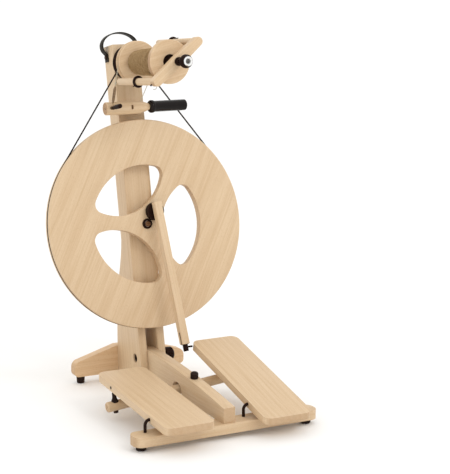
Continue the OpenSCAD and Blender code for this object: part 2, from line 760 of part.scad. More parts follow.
// Rocker under the treadles
module rocker_bar() {
    color(beech) on_rocker() difference() {
        rotate([0, 90, 0]) rotate_extrude() polygon([[0, -rocker_half], [rocker_d / 2 - 1.5, -rocker_half],
            [rocker_d / 2, 1.5 - rocker_half], [rocker_d / 2, rocker_half - 1.5],
            [rocker_d / 2 - 1.5, rocker_half], [0, rocker_half]]);
        along_y(-rocker_d, rocker_d, rocker_pin_d + 2 * run);
        for (s = [-1, 1]) {
            translate([s * rocker_half, 0, 0]) along_x(-8, 8, 5);
            translate([s * cup_x, 0, -rocker_d]) cylinder(d = 4 + 2 * seat, h = 2 * rocker_d);
            translate([s * cup_x, 0, cup_foot]) cylinder(d = 13, h = rocker_d);
            translate([s * cup_x, 0, -cup_foot - rocker_d]) cylinder(d = 10, h = rocker_d);
        }
    }
}

cup_foot = rocker_d / 2 - 2.5;
module rocker_cups() {
    color(black) on_rocker() for (s = [-1, 1]) translate([s * cup_x, 0, 0]) {
        translate([0, 0, -3]) cylinder(d = 4, h = cup_foot + 5);
        rotate_extrude() polygon([[0, cup_foot + seat], [6, cup_foot + seat], [6, cup_foot + 2],
            [cup_tip + 0.6, cup_foot + 6], [cup_tip, cup_foot + 9], [cup_tip, cup_rise], [0, cup_rise]]);
        translate([0, 0, cup_rise]) sphere(cup_tip);
    }
}

module rocker_bolts() {
    color(black) on_rocker() for (s = [-1, 1]) translate([s * cup_x, 0, -cup_foot - seat]) {
        mirror([0, 0, 1]) cylinder(d = 8, h = 6);
        cylinder(d = 4, h = cup_foot - 3.2);
    }
}

// Footman between the treadle and the crank
foot_wood = 5;
foot_slot = 26;
foot_tongue = 3;
joint_w = 9;
joint_h = 12;
joint_pin_d = 3.2;
bearing_d = 9;
bearing_depth = 9;
module footman() {
    color(beech) on_footman() difference() {
        translate([-footman_w / 2, -footman_w / 2, foot_wood])
            cube([footman_w, footman_w, foot_len + footman_above - foot_wood]);
        translate([-footman_w, -foot_tongue / 2 - seat, 0])
            cube([2 * footman_w, foot_tongue + 2 * seat, foot_slot]);
        translate([0, 0, foot_len])
            along_y(footman_w / 2 - bearing_depth - seat, footman_w, bearing_d + 2 * seat);
    }
}

stub_end = boss_front + 2 * room;
module footman_bearing() {
    color(black) {
        on_footman() translate([0, 0, foot_len])
            along_y(footman_w / 2 - bearing_depth, footman_w / 2 - 0.5, bearing_d);
        on_wheel() translate([crank_x, crank_up - hub_up, stub_end])
            cylinder(d = bearing_d - 2, h = footman_out - stub_end);
    }
}

module footman_joint() {
    color(black) on_footman() {
        translate([-footman_w / 2 + 0.5, -foot_tongue / 2, foot_wood - 1])
            cube([footman_w - 1, foot_tongue, foot_slot - seat - foot_wood + 1]);
        translate([0, 0, foot_wood - joint_h - seat]) cylinder(d = joint_w, h = joint_h);
        rotate([0, -foot_side, 0]) along_x(0, treadle_in - footman_x - room, joint_pin_d);
    }
}

// Drive wheel
fillet_a = cut_r - cut_corner;
fillet_b = cut_r2 - cut_corner;
fillet_x = (fillet_a * fillet_a - fillet_b * fillet_b + cut_off * cut_off) / (2 * cut_off);
fillet_y = sqrt(fillet_a * fillet_a - fillet_x * fillet_x);
touch_a = [fillet_x, fillet_y] * cut_r / fillet_a;
touch_b = [cut_off + (fillet_x - cut_off) * cut_r2 / fillet_b, fillet_y * cut_r2 / fillet_b];

module cut_out() {
    intersection() {
        circle(cut_r, $fn = 128);
        translate([cut_off, 0]) circle(cut_r2, $fn = 128);
        polygon([[0, touch_b[1]], touch_b, touch_a, [cut_r + 9, touch_a[1]], [cut_r + 9, -touch_a[1]],
            [touch_a[0], -touch_a[1]], [touch_b[0], -touch_b[1]], [0, -touch_b[1]]]);
    }
    for (s = [-1, 1]) translate([fillet_x, s * fillet_y]) circle(cut_corner);
}

module drive_wheel() {
    color(beech) on_wheel() difference() {
        rotate_extrude($fn = 180) difference() {
            polygon([[hub_d / 2 + seat, -wheel_t / 2], [wheel_r - rim_chamfer, -wheel_t / 2],
                [wheel_r, rim_chamfer - wheel_t / 2], [wheel_r, wheel_t / 2 - rim_chamfer],
                [wheel_r - rim_chamfer, wheel_t / 2], [hub_d / 2 + seat, wheel_t / 2]]);
            translate([band_r, 0]) circle(band_d / 2 + band_clear);
            translate([band_r, -band_d / 2 - band_clear]) square([10, band_d + 2 * band_clear]);
        }
        for (a = cut_angles) rotate(a) translate([0, 0, -wheel_t]) linear_extrude(2 * wheel_t) cut_out();
        translate([crank_x, crank_up - hub_up, -wheel_t]) cylinder(d = 8 + 2 * seat, h = 2 * wheel_t);
    }
}

module wheel_bearing() {
    color(black) on_wheel() difference() {
        union() {
            translate([0, 0, -wheel_t / 2 - 4]) cylinder(d = hub_d, h = wheel_t + hub_lip + 4);
            translate([0, 0, -wheel_t / 2 - 4]) cylinder(d = 30, h = 4 - seat);
        }
        translate([0, 0, -wheel_t]) cylinder(d = axle_d + 2 * run, h = 2 * wheel_t);
    }
}

module crank_pin() {
    color(steel) on_wheel() translate([crank_x, crank_up - hub_up, -wheel_t / 2 + 1])
        cylinder(d = 8, h = wheel_t - 1 + boss_gap + 4);
}

module crank_boss() {
    color(black) on_wheel() translate([crank_x, crank_up - hub_up, 0]) difference() {
        union() {
            translate([0, 0, wheel_t / 2 + seat]) cylinder(d = 16, h = boss_gap + 1);
            translate([0, 0, wheel_t / 2 + boss_gap]) cylinder(d = crank_d, h = boss_front - wheel_t / 2 - boss_gap);
        }
        translate([0, 0, wheel_t / 2]) cylinder(d = 8 + 2 * seat, h = boss_gap + 4 + seat);
    }
}

// Flyer
module flyer_shaft() {
    color(steel) on_flyer() translate([0, 0, shaft_back]) cylinder(d = shaft_d, h = bar_b - 1 - shaft_back);
}

module flyer_crossbar() {
    color(beech) on_flyer() rotate(flyer_turn) difference() {
        translate([0, 0, bar_a]) linear_extrude(bar_b - bar_a) {
            polygon([[-arm_r, -cross_end / 2], [0, -cross_mid / 2], [arm_r, -cross_end / 2],
                [arm_r, cross_end / 2], [0, cross_mid / 2], [-arm_r, cross_end / 2]]);
            for (s = [-1, 1]) translate([s * arm_r, 0]) circle(d = cross_end);
        }
        translate([0, 0, bar_a - 1]) cylinder(d = shaft_d + 2 * seat, h = bar_b);
        for (s = [-1, 1]) translate([s * arm_r, 0, bar_a - 1]) cylinder(d = tenon_d + 2 * seat, h = tenon_l + 1.5);
    }
}

module flyer_arm(s) {
    color(beech) on_flyer() rotate(flyer_turn) translate([s * arm_r, 0, 0]) rotate_extrude()
        polygon([[0, arm_a], [arm_d / 2 - 1.5, arm_a], [arm_d / 2, arm_a + 1.5], [arm_d / 2, bar_a - seat],
            [tenon_d / 2, bar_a - seat], [tenon_d / 2, bar_a + tenon_l], [0, bar_a + tenon_l]]);
}

module flyer_arm_left() { flyer_arm(-1); }
module flyer_arm_right() { flyer_arm(1); }

module orifice() {
    color(black) on_flyer() difference() {
        rotate_extrude() polygon([[0, bar_b + seat], [7, bar_b + seat], [7, bar_b + 4], [neck_d / 2, bar_b + 5],
            [neck_d / 2, bell_a - 3], [bell_d / 2, bell_b - 3], [bell_d / 2, bell_b], [ring_d / 2 + 0.8, rim_b],
            [orifice_d / 2, rim_b], [orifice_d / 2, bar_b + 8], [0, bar_b + 8]]);
        translate([0, 0, bar_b + 12]) rotate([0, 90, 0]) cylinder(d = eye_d, h = 2 * bell_d, center = true);
    }
}

module orifice_ring() {
    color(steel) on_flyer() rotate_extrude() polygon([[orifice_d / 2, rim_b + seat], [ring_d / 2, rim_b + seat],
        [ring_d / 2, rim_b + 1], [ring_d / 2 - 1.2, rim_b + 2.2], [orifice_d / 2 + 1, rim_b + 2.2],
        [orifice_d / 2, rim_b + 1.2]]);
}

// The whorl has two steps: the band runs in the small one, in line with the wheel
spare_s = (whorl_back + whorl_step) / 2;
spare_r = whorl_d / 2 - 3;
lip_r = whorl_r + step_lip;
module whorl() {
    color(black) on_flyer() rotate_extrude() difference() {
        polygon([[shaft_d / 2 + seat, whorl_back], [whorl_d / 2 - 1, whorl_back], [whorl_d / 2, whorl_back + 1],
            [whorl_d / 2, whorl_step - 0.6], [whorl_d / 2 - 0.6, whorl_step], [lip_r, whorl_step],
            [lip_r, -whorl_step], [9, whorl_front], [shaft_d / 2 + seat, whorl_front]]);
        polygon([[spare_r, spare_s], [whorl_d / 2 + 1, spare_s - 2.6], [whorl_d / 2 + 1, spare_s + 2.6]]);
        translate([whorl_r, 0]) circle(band_d / 2 + band_clear);
        polygon([[whorl_r, -band_d / 2 - band_clear], [lip_r + 1, -3.7], [lip_r + 1, 3.7],
            [whorl_r, band_d / 2 + band_clear]]);
    }
}

// Bobbin
module bobbin_tube() {
    color(black) on_flyer() rotate_extrude() polygon([[shaft_d / 2 + run, tube_a], [8, tube_a],
        [8, back_a + 2], [tube_d / 2, back_a + 2], [tube_d / 2, front_b - 2], [8, front_b - 2],
        [8, tube_b], [shaft_d / 2 + run, tube_b]]);
}

module flange_back() {
    color(beech) on_flyer() rotate_extrude() difference() {
        polygon([[tube_d / 2 + seat, back_a], [flange_back_d / 2 - 1, back_a], [flange_back_d / 2, back_a + 1],
            [flange_back_d / 2, back_b - 1], [flange_back_d / 2 - 1, back_b], [tube_d / 2 + seat, back_b]]);
        polygon([[brake_floor, brake_s - 2.1], [flange_back_d / 2 + 1, brake_s - 4.9],
            [flange_back_d / 2 + 1, brake_s + 4.9], [brake_floor, brake_s + 2.1]]);
    }
}

module flange_front() {
    color(beech) on_flyer() rotate_extrude() polygon([[tube_d / 2 + seat, front_a],
        [flange_front_d / 2 - 1, front_a], [flange_front_d / 2, front_a + 1], [flange_front_d / 2, front_b - 1],
        [flange_front_d / 2 - 1, front_b], [tube_d / 2 + seat, front_b]]);
}

module yarn_core() {
    color(yarn) on_flyer() rotate_extrude() polygon([[tube_d / 2 + seat, back_b + seat],
        [core_r_back, back_b + seat], [core_r_front, front_a - seat], [tube_d / 2 + seat, front_a - seat]]);
}

// The outer layer is one helix that follows the core's taper
yarn_a = back_b + yarn_d / 2 + 0.3;
yarn_b = front_a - yarn_d / 2 - 0.3;
yarn_pitch = (yarn_b - yarn_a) / yarn_turns;
function yarn_pt(t) = let (f = t / yarn_turns, r = mix(core_r_back, core_r_front, f) + yarn_d / 2 + core_clear)
    [r * cos(360 * t), r * sin(360 * t), mix(yarn_a, yarn_b, f)];
yarn_path = [for (i = [0:yarn_turns * yarn_rings]) yarn_pt(i / yarn_rings)];
yarn_self = min([for (i = [0:len(yarn_path) - yarn_rings - 1]) norm(yarn_path[i + yarn_rings] - yarn_path[i]) - yarn_d]);
echo(yarn_gap = yarn_self);
spring_self = min([for (i = [2:len(spring_path) - spring_rings - 3])
    norm(spring_path[i + spring_rings] - spring_path[i]) - wire_d]);
echo(spring_gap = spring_self);

module yarn_winding() {
    color(yarn) on_flyer() tube(yarn_path, [for (p = yarn_path) [0, 0, 1]], yarn_d, yarn_sides, false);
}

// Sliding yarn guides on the flyer's arms
module hook_slider(s, place) {
    on_flyer() rotate(flyer_turn) translate([s * arm_r, 0, place]) {
        rotate_extrude() difference() {
            translate([arm_d / 2 + run + slider_d / 2 - 0.3, 0]) circle(d = slider_d);
            translate([0, -slider_d]) square([arm_d / 2 + run, 2 * slider_d]);
        }
        translate([s * (arm_d / 2 + slider_d - 1), 0, 0]) rotate([0, s * 90, 0]) cylinder(d = 1.8, h = 3);
    }
}

module hook_slider_left() {
    color(black) hook_slider(-1, slider_left_s);
}

module hook_slider_right() {
    color(black) hook_slider(1, slider_right_s);
}

mast();
rear_crossbar();
crossbar_screws();
rear_foot_left();
rear_foot_right();
pivot_bolt();
wheel_axle();
axle_spacer();
hub_screw();
flyer_bearing();
barrel_block();
head_barrel();
brake_spring();
brake_cord();
drive_band();
strap();
strap_screws();
clamp_knob();
spine();
front_bar();
front_foot_left();
front_foot_right();
bar_screws();
treadle_hooks();
bumper();
rocker_pin();
pin_keepers();
treadle_left();
treadle_right();
treadle_pin_left();
treadle_pin_right();
rocker_bar();
rocker_cups();
rocker_bolts();
footman();
footman_bearing();
footman_joint();
drive_wheel();
wheel_bearing();
crank_pin();
crank_boss();
flyer_shaft();
flyer_crossbar();
flyer_arm_left();
flyer_arm_right();
orifice();
orifice_ring();
whorl();
bobbin_tube();
flange_back();
flange_front();
yarn_core();
yarn_winding();
hook_slider_left();
hook_slider_right();
tension_handle();
brake_peg();
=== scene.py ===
import math

import bmesh
import bpy
from mathutils import Matrix, Vector


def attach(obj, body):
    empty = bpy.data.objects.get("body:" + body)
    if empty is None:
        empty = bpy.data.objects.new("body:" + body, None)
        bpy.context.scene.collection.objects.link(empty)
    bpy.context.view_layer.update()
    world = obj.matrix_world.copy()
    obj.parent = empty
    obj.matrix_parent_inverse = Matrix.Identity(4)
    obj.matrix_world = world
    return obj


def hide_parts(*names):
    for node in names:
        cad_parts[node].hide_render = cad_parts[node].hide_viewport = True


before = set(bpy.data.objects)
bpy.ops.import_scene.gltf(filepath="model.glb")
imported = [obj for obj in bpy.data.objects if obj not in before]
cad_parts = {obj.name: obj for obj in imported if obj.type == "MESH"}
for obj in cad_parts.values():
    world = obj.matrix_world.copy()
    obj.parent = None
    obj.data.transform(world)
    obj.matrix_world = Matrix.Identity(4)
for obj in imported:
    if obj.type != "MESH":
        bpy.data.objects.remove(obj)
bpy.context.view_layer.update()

# Mast: one leaning post of solid beech, forked at the foot round the base board.
# It is sawn and planed, its edges are eased by hand, and it is finished with oil.
bolt = Vector((0.0, 0.1143325, 0.0575))
lean = math.radians(11)
mast_up = Vector((0.0, math.sin(lean), math.cos(lean)))
mast_out = Vector((0.0, -math.cos(lean), math.sin(lean)))


def on_mast(x, out, up):
    """A point given across the mast, out of its front and up its length from the fold bolt."""
    return bolt + Vector((x, 0.0, 0.0)) + mast_out * out + mast_up * up


class Link:
    """An output in a node tree. Sums and products of links add Math nodes to that tree."""

    def __init__(self, tree, out=None):
        self.tree, self.out = tree, out

    def add(self, kind, settings=None, sockets=None, out=0):
        node = self.tree.nodes.new(kind)
        for key, value in (settings or {}).items():
            setattr(node, key, value)
        for key, value in (sockets or {}).items():
            if isinstance(value, Link):
                self.tree.links.new(value.out, node.inputs[key])
            else:
                node.inputs[key].default_value = value
        return Link(self.tree, node.outputs[out] if node.outputs else None)

    def place(self):
        return self.add("ShaderNodeTexCoord", {}, {}, "Object")

    def mark(self, name):
        return self.add("ShaderNodeAttribute", {"attribute_name": name}, {}, "Fac")

    def math(self, operation, a, b=0.0):
        return self.add("ShaderNodeMath", {"operation": operation}, {0: a, 1: b})

    def __add__(self, other):
        return self.math("ADD", self, other)

    def __sub__(self, other):
        return self.math("SUBTRACT", self, other)

    def __rsub__(self, other):
        return self.math("SUBTRACT", other, self)

    def __mul__(self, other):
        return self.math("MULTIPLY", self, other)

    def __truediv__(self, other):
        return self.math("DIVIDE", self, other)

    __radd__ = __add__
    __rmul__ = __mul__

    def sine(self):
        return self.math("SINE", self)

    def step(self, low, high):
        return self.add("ShaderNodeMapRange", {"interpolation_type": "SMOOTHSTEP"},
                        {0: self, 1: low, 2: high})

    def colour(self, a, b):
        return self.add("ShaderNodeMix", {"data_type": "RGBA"}, {0: self, 6: a, 7: b}, 2)

    def noise(self, stretch, detail):
        spread = self.add("ShaderNodeVectorMath", {"operation": "MULTIPLY"}, {0: self, 1: stretch})
        return self.add("ShaderNodeTexNoise", {}, {"Vector": spread, "Scale": 1.0, "Detail": detail,
                                                   "Roughness": 0.55})


def new_finish(name):
    finish = bpy.data.materials.new(name)
    finish.use_nodes = True
    finish.node_tree.nodes.clear()
    return finish, Link(finish.node_tree)


def close_finish(tree, sockets, height=None, depth=0.0, strength=0.0):
    """Ends a finish in one shader, with a bump where a height is given."""
    if height is not None:
        sockets["Normal"] = tree.add("ShaderNodeBump", {}, {"Strength": strength, "Distance": depth,
                                                            "Height": height})
    shader = tree.add("ShaderNodeBsdfPrincipled", {}, sockets)
    tree.add("ShaderNodeOutputMaterial", {}, {"Surface": shader})


def beech(name, along, shift, warmth_and_light=0.0, end_grain_and_shade=0.42):
    """Oiled beech with its long grain in one direction: soft growth bands, streaks and ray flecks."""
    finish, wood = new_finish(name)
    run = Vector(along).normalized()
    side = run.orthogonal().normalized()
    turn = Matrix((run, side, run.cross(side))).to_euler()
    facing = wood.add("ShaderNodeTexCoord", {}, {}, "Normal")
    laid = wood.add("ShaderNodeMapping", {}, {"Vector": wood.place(), "Rotation": turn,
                                              "Location": (shift, 0.37 * shift, 0.61 * shift)})
    parts = wood.add("ShaderNodeSeparateXYZ", {}, {0: laid})
    across = Link(parts.tree, parts.out.node.outputs[1])
    deep = Link(parts.tree, parts.out.node.outputs[2])
    sway = laid.noise((2.2, 16.0, 16.0), 2.0)
    bands = (across * 560.0 + deep * 240.0 + sway * 26.0).sine() * 0.5 + 0.5
    streaks = laid.noise((8.0, 420.0, 420.0), 3.0)
    broad = laid.noise((3.0, 34.0, 34.0), 2.0)
    flecks = laid.noise((300.0, 2100.0, 1500.0), 1.0).step(0.60, 0.70)
    pores = laid.noise((420.0, 4200.0, 4200.0), 1.0).step(0.55, 0.75)
    along_face = wood.add("ShaderNodeVectorMath", {"operation": "DOT_PRODUCT"}, {0: facing, 1: run}, 1)
    end = wood.math("ABSOLUTE", along_face).step(0.60, 0.95)
    rounded = wood.mark("eased")
    # The warmth given to a piece makes its pale and tan tones warmer and brighter; on the rear crossbar part
    # of it is painted light.
    pale = (0.665 + warmth_and_light, 0.500 + 0.4 * warmth_and_light, 0.322, 1.0)
    tan = (0.545 + warmth_and_light, 0.372 + 0.3 * warmth_and_light, 0.210, 1.0)
    umber = (0.36, 0.205, 0.10, 1.0)
    painted_edge_highlight = (0.72, 0.55, 0.36, 1.0)
    tone = (bands * 0.16 + streaks * 1.00 + broad * 0.45 - 0.42).step(0.0, 1.0)
    colour = tone.colour(pale, tan)
    colour = (flecks * 0.30 + pores * 0.12).colour(colour, umber)
    # Faces square to the grain are darkened as end grain. Where this darkening is made strong, on the bobbin
    # flanges and the barrel's nose, it is painted shade as well as end grain.
    colour = (end * end_grain_and_shade).colour(colour, umber)
    # Rounded edges are mixed towards a light tone: a painted highlight along the eased edges.
    colour = (rounded * 0.22 * broad).colour(colour, painted_edge_highlight)
    rough = 0.40 + 0.16 * streaks + 0.10 * end - 0.06 * rounded
    height = 0.6 - 0.5 * flecks - 0.35 * pores + 0.35 * streaks
    close_finish(wood, {"Base Color": colour, "Roughness": rough, "Specular IOR Level": 0.42},
                 height, 0.00016, 0.35)
    return finish


def placed(name, mesh, body, nodes=()):
    """Sets a finished mesh on its body, in place of the nodes it stands for."""
    piece = bpy.data.objects.new(name, mesh)
    bpy.context.scene.collection.objects.link(piece)
    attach(piece, body)
    if nodes:
        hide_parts(*nodes)


def eased(node, body, finish, round_over, sides=3):
    """The node's own solid with its sharp edges rounded over, in place of the node."""
    weld, flat, sharp, shaded = 2e-6, math.radians(0.6), math.radians(28), math.radians(40)
    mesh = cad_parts[node].data.copy()
    mesh.materials.clear()
    # The second slot marks the rounded faces until that mark is stored; wood takes a painted edge highlight
    # from it, rubber and plastic their edge wear.
    mesh.materials.append(finish)
    mesh.materials.append(finish)
    form = bmesh.new()
    form.from_mesh(mesh)
    bmesh.ops.remove_doubles(form, verts=form.verts, dist=weld)
    bmesh.ops.dissolve_limit(form, angle_limit=flat, verts=form.verts, edges=form.edges)
    for face in form.faces:
        face.material_index = 0
    form.to_mesh(mesh)
    form.free()
    blank = bpy.data.objects.new(node + "_rough", mesh)
    bpy.context.scene.collection.objects.link(blank)
    plane = blank.modifiers.new("round", "BEVEL")
    plane.limit_method, plane.angle_limit = "ANGLE", sharp
    plane.width, plane.segments, plane.material = round_over, sides, 1
    plane.use_clamp_overlap, plane.miter_outer = True, "MITER_ARC"
    shaped = bpy.data.meshes.new_from_object(blank.evaluated_get(bpy.context.evaluated_depsgraph_get()))
    bpy.data.objects.remove(blank)
    edge = shaped.attributes.new("eased", "FLOAT", "CORNER")
    for face in shaped.polygons:
        for corner in face.loop_indices:
            edge.data[corner].value = float(face.material_index)
        face.material_index = 0
        face.use_smooth = True
    shaped.materials.pop(index=1)
    shaped.set_sharp_from_angle(angle=shaded)
    placed(node + "_worked", shaped, body, (node,))


mast_beech = beech("beech_mast", mast_up, 0.3)
eased("mast", "stand", mast_beech, 0.0022)


# Rear crossbar: a tapered beech board held by a screw across the back of each leg.
# Its edges are rounded over with a router, and a rubber foot is pressed in under each tip.
def turned_metal(name, colour, rough):
    """Turned or drawn metal: fine tool marks in its roughness and bump, and a cloudy tone a little darker in
    patches.
    """
    finish, metal = new_finish(name)
    place = metal.place()
    marks = place.noise((700.0, 700.0, 2600.0), 2.0)
    cloud = place.noise((60.0, 60.0, 60.0), 2.0)
    tint = (cloud * 0.35).colour((*colour, 1.0), (*[0.55 * c for c in colour], 1.0))
    close_finish(metal, {"Base Color": tint, "Metallic": 1.0, "Roughness": rough + 0.14 * marks},
                 marks, 0.00003, 0.2)
    return finish


def rubber(name):
    """Matte black rubber with a fine moulded skin and a little dust worked into its edges."""
    finish, skin = new_finish(name)
    place = skin.place()
    grain = place.noise((1500.0, 1500.0, 1500.0), 2.0)
    dust = place.noise((160.0, 160.0, 160.0), 3.0).step(0.45, 0.75)
    worn = skin.mark("eased")
    tint = (dust * 0.30 + worn * 0.25).colour((0.017, 0.009, 0.007, 1.0), (0.065, 0.044, 0.036, 1.0))
    close_finish(skin, {"Base Color": tint, "Roughness": 0.66 + 0.2 * dust, "Specular IOR Level": 0.10},
                 grain, 0.00012, 0.35)
    return finish


def dressed(finish, *nodes):
    """Nodes whose solids are right as they are only take their finish."""
    for node in nodes:
        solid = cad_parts[node]
        solid.data.materials.clear()
        solid.data.materials.append(finish)


# The rear crossbar's beech is made warmer and brighter: partly its own tone, partly painted light where the
# crossbar stands in shade.
rear_beech = beech("beech_rear_crossbar", (1, 0, 0), 1.7, 0.07)
eased("rear_crossbar", "stand", rear_beech, 0.0042, 4)
screw_steel = turned_metal("steel_screws", (0.62, 0.61, 0.60), 0.28)
foot_rubber = rubber("rubber_feet")
dressed(screw_steel, "crossbar_screws")
for foot in ("rear_foot_left", "rear_foot_right"):
    eased(foot, "stand", foot_rubber, 0.0009)


# Fold bolt and clamp knob: a blacked bolt with a socket head let into the left leg,
# and a moulded fluted knob on the right that clamps the base at any angle.
def moulded(name, colour, rough, worn_colour, gloss=0.05):
    """Black moulded plastic: a fine spark-eroded skin, polished where fingers rub its edges."""
    finish, skin = new_finish(name)
    place = skin.place()
    grain = place.noise((1900.0, 1900.0, 1900.0), 2.0)
    cloud = place.noise((45.0, 45.0, 45.0), 3.0)
    worn = skin.mark("eased")
    tint = (worn * 0.40 + cloud * 0.12).colour((*colour, 1.0), (*worn_colour, 1.0))
    shine = rough + 0.12 * cloud - 0.08 * worn + 0.05 * grain
    close_finish(skin, {"Base Color": tint, "Roughness": shine, "Specular IOR Level": gloss},
                 grain, 0.00006, 0.25)
    return finish


blacked = turned_metal("steel_blacked", (0.050, 0.030, 0.022), 0.34)
knob_plastic = moulded("plastic_knob", (0.014, 0.005, 0.003), 0.34, (0.040, 0.020, 0.014))
dressed(blacked, "pivot_bolt")
eased("clamp_knob", "clamp", knob_plastic, 0.0007)


# Base: a deep spine board on edge in the fork, glued and screwed to a flat front bar.
# Both are beech, cut along the grain and well rounded, on two pressed-in rubber feet.
spine_beech = beech("beech_spine", (0, 1, 0), 2.9)
bar_beech = beech("beech_front_bar", (1, 0, 0), 4.1)
eased("spine", "base", spine_beech, 0.0026)
eased("front_bar", "base", bar_beech, 0.0040, 4)
for foot in ("front_foot_left", "front_foot_right"):
    eased(foot, "base", foot_rubber, 0.0009)
dressed(screw_steel, "bar_screws")
eased("bumper", "base", foot_rubber, 0.0008)


# Treadles: two beech boards on bent black wires that stand in the front bar,
# with a short black pin let into the outer edge of each.
treadle_left_beech = beech("beech_treadle_left", (0, 1, 0.07), 5.3)
treadle_right_beech = beech("beech_treadle_right", (0, 0.97, 0.233), 6.9)
eased("treadle_left", "left_treadle", treadle_left_beech, 0.0040, 4)
eased("treadle_right", "right_treadle", treadle_right_beech, 0.0040, 4)
hook_wire = moulded("wire_hooks", (0.016, 0.007, 0.005), 0.24, (0.05, 0.035, 0.028))
dressed(hook_wire, "treadle_hooks", "treadle_pin_left", "treadle_pin_right")


# Rocker: a turned beech bar on a steel pin under the spine, which joins the two treadles
# through black cups, so that one board rises as the other is pressed down.
rocker_beech = beech("beech_rocker", (1, 0, 0.1), 8.2)
eased("rocker_bar", "rocker", rocker_beech, 0.0008)
cup_rubber = rubber("rubber_cups")
dressed(cup_rubber, "rocker_cups")
dressed(blacked, "rocker_bolts")
dressed(screw_steel, "rocker_pin", "pin_keepers")


# Drive wheel: a flat disc of beech with three cut-outs and a groove round its rim.
# It turns in a flanged black bearing on a steel stub axle held by a slotted screw.
grain_slope = math.radians(62)
wheel_grain = Vector((1, 0, 0)) * math.cos(grain_slope) + mast_up * math.sin(grain_slope)
wheel_beech = beech("beech_drive_wheel", wheel_grain, 9.6)
eased("drive_wheel", "wheel", wheel_beech, 0.0012)
hub_plastic = moulded("plastic_hub", (0.014, 0.005, 0.003), 0.38, (0.040, 0.020, 0.014))
hub_brass = turned_metal("brass_hub_screw", (0.20, 0.105, 0.055), 0.36)
eased("wheel_bearing", "wheel", hub_plastic, 0.0005)
dressed(screw_steel, "wheel_axle", "crank_pin")
eased("axle_spacer", "stand", hub_plastic, 0.0005)
dressed(hub_brass, "hub_screw")
eased("crank_boss", "wheel", hub_plastic, 0.0010)


# Footman: a square beech rod with rounded corners from the right treadle to the crank.
# A black bush runs on the crank, and a black joint is let into a slot at the foot.
footman_beech = beech("beech_footman", (-0.09, 0.29, 0.957), 11.2)
eased("footman", "footman_rod", footman_beech, 0.0030, 4)
dressed(hub_plastic, "footman_bearing")
eased("footman_joint", "footman_rod", hub_plastic, 0.0006)


# Head barrel: a turned beech barrel on a block across the mast, drilled for a peg and slotted.
# The black handle screws into its nose, and a blacked screw in its end locks the brake's peg.
barrel_out, barrel_height = 0.053, 0.4295


def on_barrel(radius, angle, along):
    """A point given round the barrel's middle line and along it to the right."""
    return on_mast(along, barrel_out + radius * math.cos(angle), barrel_height + radius * math.sin(angle))


def turned(name, place, outline, sides, body, finish, nodes=()):
    """A piece of revolution from its outline; place gives a point round the axis and along it."""
    weld, shaded = 1e-7, math.radians(40)
    points = [place(radius, math.tau * k / sides, along) for radius, along in outline for k in range(sides)]
    skin = []
    for ring in range(0, (len(outline) - 1) * sides, sides):
        for k in range(sides):
            after = (k + 1) % sides
            skin.append((ring + k, ring + after, ring + sides + after, ring + sides + k))
    mesh = bpy.data.meshes.new(name)
    mesh.from_pydata([tuple(q) for q in points], [], skin)
    form = bmesh.new()
    form.from_mesh(mesh)
    bmesh.ops.remove_doubles(form, verts=form.verts, dist=weld)
    bmesh.ops.recalc_face_normals(form, faces=form.faces)
    form.to_mesh(mesh)
    form.free()
    mesh.materials.append(finish)
    for face in mesh.polygons:
        face.use_smooth = True
    mesh.set_sharp_from_angle(angle=shaded)
    placed(name, mesh, body, nodes)


block_beech = beech("beech_barrel_block", (1, 0, 0), 12.4)
# The barrel's strong end darkening falls on its tapered nose: end grain and painted shade.
barrel_beech = beech("beech_head_barrel", (1, 0, 0), 13.8, 0.01, 0.85)
handle_plastic = moulded("plastic_handle", (0.005, 0.003, 0.0025), 0.11, (0.020, 0.014, 0.012), 0.16)
eased("barrel_block", "stand", block_beech, 0.0015)
eased("head_barrel", "stand", barrel_beech, 0.0008)
eased("tension_handle", "handle", handle_plastic, 0.0009)
eased("brake_peg", "peg", hub_plastic, 0.0006)
lock_screw = [(0.0, -0.0600), (0.0018, -0.0600), (0.0024, -0.0595), (0.0024, -0.0572), (0.0, -0.0572)]
turned("barrel_lock_screw", on_barrel, lock_screw, 24, "stand", blacked)


# Flyer: a steel shaft in a black bush, with a moulded whorl behind and a beech crossbar
# and two turned arms in front. The yarn goes in at a flared orifice with a bright ring.
groove_out, flyer_height = 0.0405, 0.507
flyer_rise = math.radians(4.5)
flyer_turn = math.radians(39.5)
flyer_foot = on_mast(0.0, groove_out, flyer_height)
flyer_run = Vector((0.0, -math.cos(flyer_rise), math.sin(flyer_rise)))
flyer_up = Vector((0.0, math.sin(flyer_rise), math.cos(flyer_rise)))
crossbar_run = Vector((math.cos(flyer_turn), 0.0, 0.0)) + flyer_up * math.sin(flyer_turn)


def on_flyer(radius, angle, ahead):
    """A point given round the flyer's shaft and along it from the whorl to the front."""
    level, height = radius * math.cos(angle), radius * math.sin(angle)
    return flyer_foot + Vector((level, 0.0, 0.0)) + flyer_up * height + flyer_run * ahead


crossbar_beech = beech("beech_flyer_crossbar", crossbar_run, 15.1, 0.015, 0.60)
arm_beech = beech("beech_flyer_arms", flyer_run, 16.3)
whorl_plastic = moulded("plastic_whorl", (0.013, 0.005, 0.003), 0.36, (0.036, 0.020, 0.014))
bright_steel = turned_metal("steel_orifice_ring", (0.90, 0.90, 0.89), 0.10)
lining_steel = turned_metal("steel_orifice_lining", (0.93, 0.93, 0.92), 0.50)
eased("flyer_bearing", "stand", hub_plastic, 0.0005)
dressed(screw_steel, "flyer_shaft")
eased("whorl", "flyer", whorl_plastic, 0.0004)
eased("flyer_crossbar", "flyer", crossbar_beech, 0.0028, 4)
eased("flyer_arm_left", "flyer", arm_beech, 0.0008)
eased("flyer_arm_right", "flyer", arm_beech, 0.0008)
eased("orifice", "flyer", whorl_plastic, 0.0006)
dressed(bright_steel, "orifice_ring")
lining = [(0.00395, 0.2030), (0.00395, 0.2226), (0.00415, 0.2228), (0.00415, 0.2030), (0.00395, 0.2030)]
